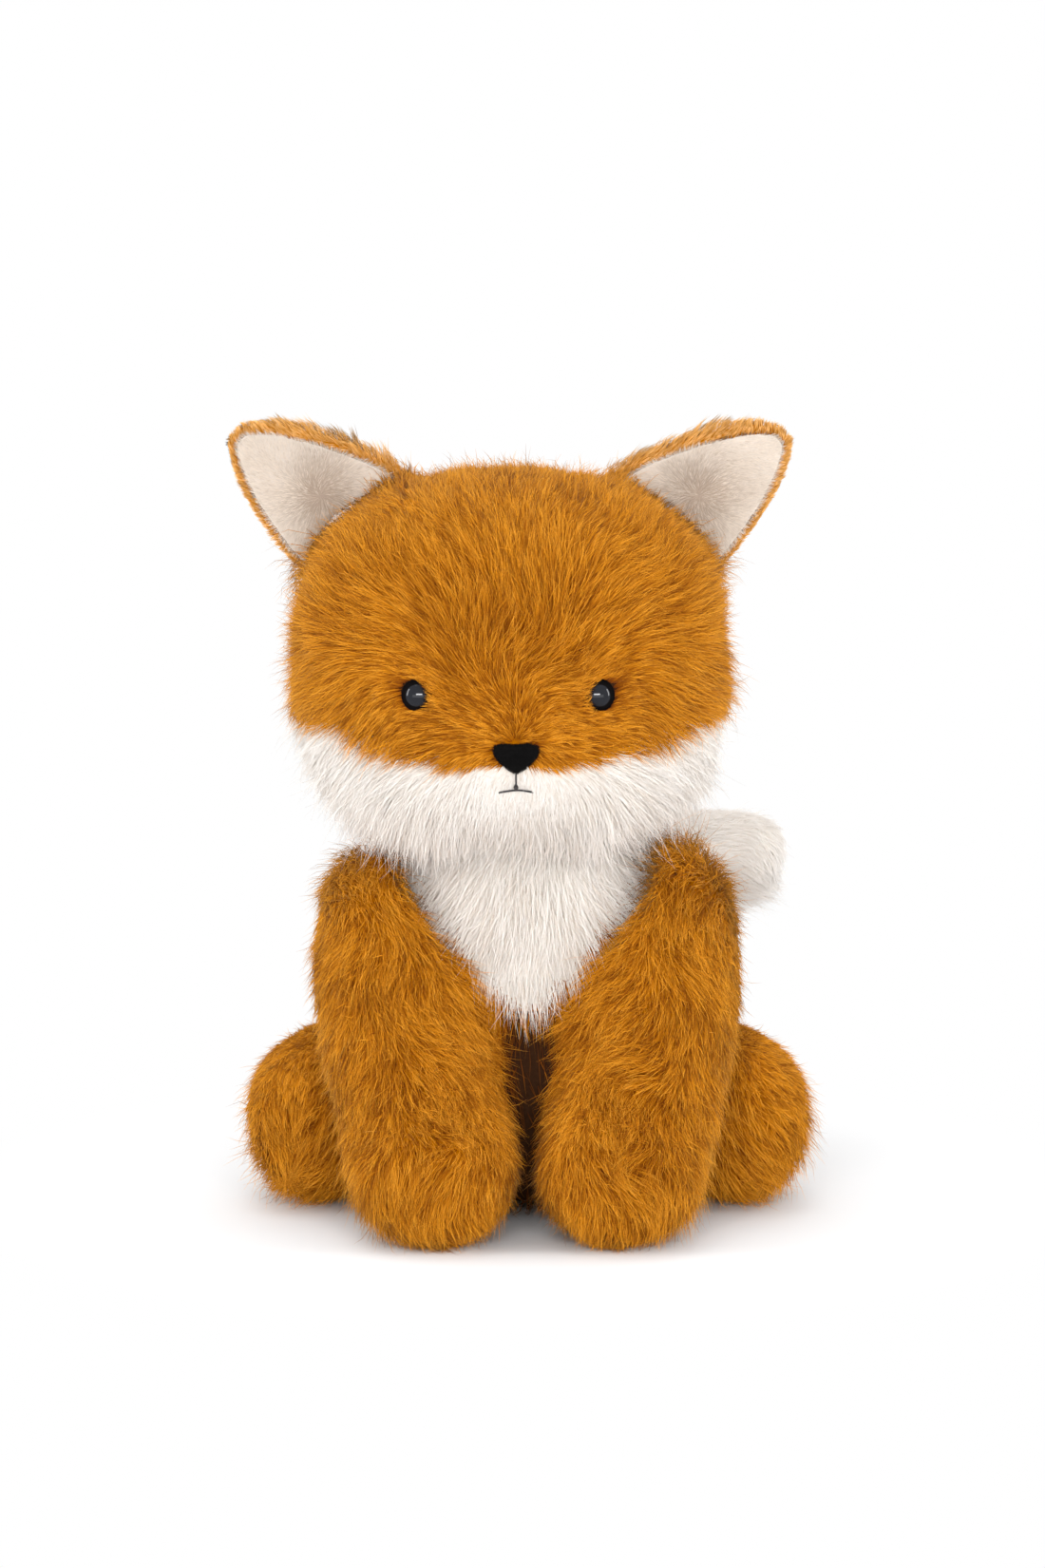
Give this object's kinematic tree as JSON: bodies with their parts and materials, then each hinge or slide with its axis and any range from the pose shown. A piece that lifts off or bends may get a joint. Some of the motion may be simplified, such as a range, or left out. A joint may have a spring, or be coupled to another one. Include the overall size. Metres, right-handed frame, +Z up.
{
  "type": "plush fox",
  "caption": "Seated plush fox with a big round head, upright lined ears, white lower face and bib, four stubby legs and a white-tipped tail.",
  "frame": {"origin": "middle of the width on the flat base panel that the fox sits on", "axes": "+Z up through the head, the fox faces -Y and its own left side is +X"},
  "size_m": [0.1843, 0.1825, 0.2498],
  "materials": {
    "orange_fur": "long rust-orange pile, combed down, matt with a soft sheen",
    "white_fur": "long off-white pile, matt",
    "short_orange_pile": "short orange pile on the backs of the ears",
    "cream_minky": "very short smooth cream pile",
    "stuffing": "white polyester fibre filling",
    "pellet_bag": "plain woven bag of plastic pellets",
    "eye_plastic": "polished black",
    "washer_plastic": "plain moulded",
    "black_flock": "black flocked velvet",
    "dark_thread": "twisted embroidery thread"
  },
  "bodies": {
    "body": {"body_fur": "orange_fur", "bib_fur": "white_fur", "base_panel": "orange_fur", "body_stuffing": "stuffing", "bean_pouch": "pellet_bag"},
    "neck": {"neck_plug": "stuffing"},
    "head": {"head_crown_fur": "orange_fur", "head_cheek_fur": "white_fur", "head_stuffing": "stuffing", "eye_left": "eye_plastic", "eye_right": "eye_plastic", "eye_left_washer": "washer_plastic", "eye_right_washer": "washer_plastic", "nose": "black_flock", "nose_washer": "washer_plastic", "mouth_stitch": "dark_thread"},
    "tail": {"tail_base_fur": "orange_fur", "tail_tip_fur": "white_fur", "tail_stuffing": "stuffing"},
    "ear_left": {"ear_back_left": "short_orange_pile", "ear_lining_left": "cream_minky"},
    "front_leg_left": {"front_leg_fur_left": "orange_fur", "front_leg_stuffing_left": "stuffing"},
    "hind_leg_left": {"hind_leg_fur_left": "orange_fur", "hind_leg_stuffing_left": "stuffing"},
    "ear_right": {"ear_back_right": "short_orange_pile", "ear_lining_right": "cream_minky"},
    "front_leg_right": {"front_leg_fur_right": "orange_fur", "front_leg_stuffing_right": "stuffing"},
    "hind_leg_right": {"hind_leg_fur_right": "orange_fur", "hind_leg_stuffing_right": "stuffing"}
  },
  "joints": [
    {"name": "neck_turn", "type": "hinge", "parent": "body", "child": "neck", "pos_m": [0, -0.004, 0.101], "axis": [0, 0, 1], "range_deg": [-25, 25], "stiffness_Nm_per_rad": 0.3},
    {"name": "neck_nod", "type": "hinge", "parent": "neck", "child": "head", "pos_m": [0, -0.004, 0.101], "axis": [1, 0, 0], "range_deg": [-12, 8], "stiffness_Nm_per_rad": 0.8},
    {"name": "ear_fold_left", "type": "hinge", "parent": "head", "child": "ear_left", "pos_m": [0.0425, 0, 0.2145], "axis": [0.6428, 0, -0.766], "range_deg": [-15, 20], "stiffness_Nm_per_rad": 0.02},
    {"name": "ear_fold_right", "type": "hinge", "parent": "head", "child": "ear_right", "pos_m": [-0.0535, 0, 0.2145], "axis": [0.6428, 0, 0.766], "range_deg": [-15, 20], "stiffness_Nm_per_rad": 0.02},
    {"name": "shoulder_left", "type": "hinge", "parent": "body", "child": "front_leg_left", "pos_m": [0.045, -0.018, 0.092], "axis": [-1, 0, 0], "range_deg": [0, 40], "stiffness_Nm_per_rad": 0.1},
    {"name": "shoulder_right", "type": "hinge", "parent": "body", "child": "front_leg_right", "pos_m": [-0.045, -0.018, 0.092], "axis": [-1, 0, 0], "range_deg": [0, 40], "stiffness_Nm_per_rad": 0.1},
    {"name": "hip_left", "type": "hinge", "parent": "body", "child": "hind_leg_left", "pos_m": [0.046, 0.022, 0.031], "axis": [-0.7986, 0, 0.6018], "range_deg": [0, 30], "stiffness_Nm_per_rad": 0.1},
    {"name": "hip_right", "type": "hinge", "parent": "body", "child": "hind_leg_right", "pos_m": [-0.046, 0.022, 0.031], "axis": [-0.7986, 0, -0.6018], "range_deg": [0, 30], "stiffness_Nm_per_rad": 0.1},
    {"name": "tail_wag", "type": "hinge", "parent": "body", "child": "tail", "pos_m": [0.003, 0.036, 0.036], "axis": [0, 1, 0], "range_deg": [-20, 20], "stiffness_Nm_per_rad": 0.4}
  ]
}
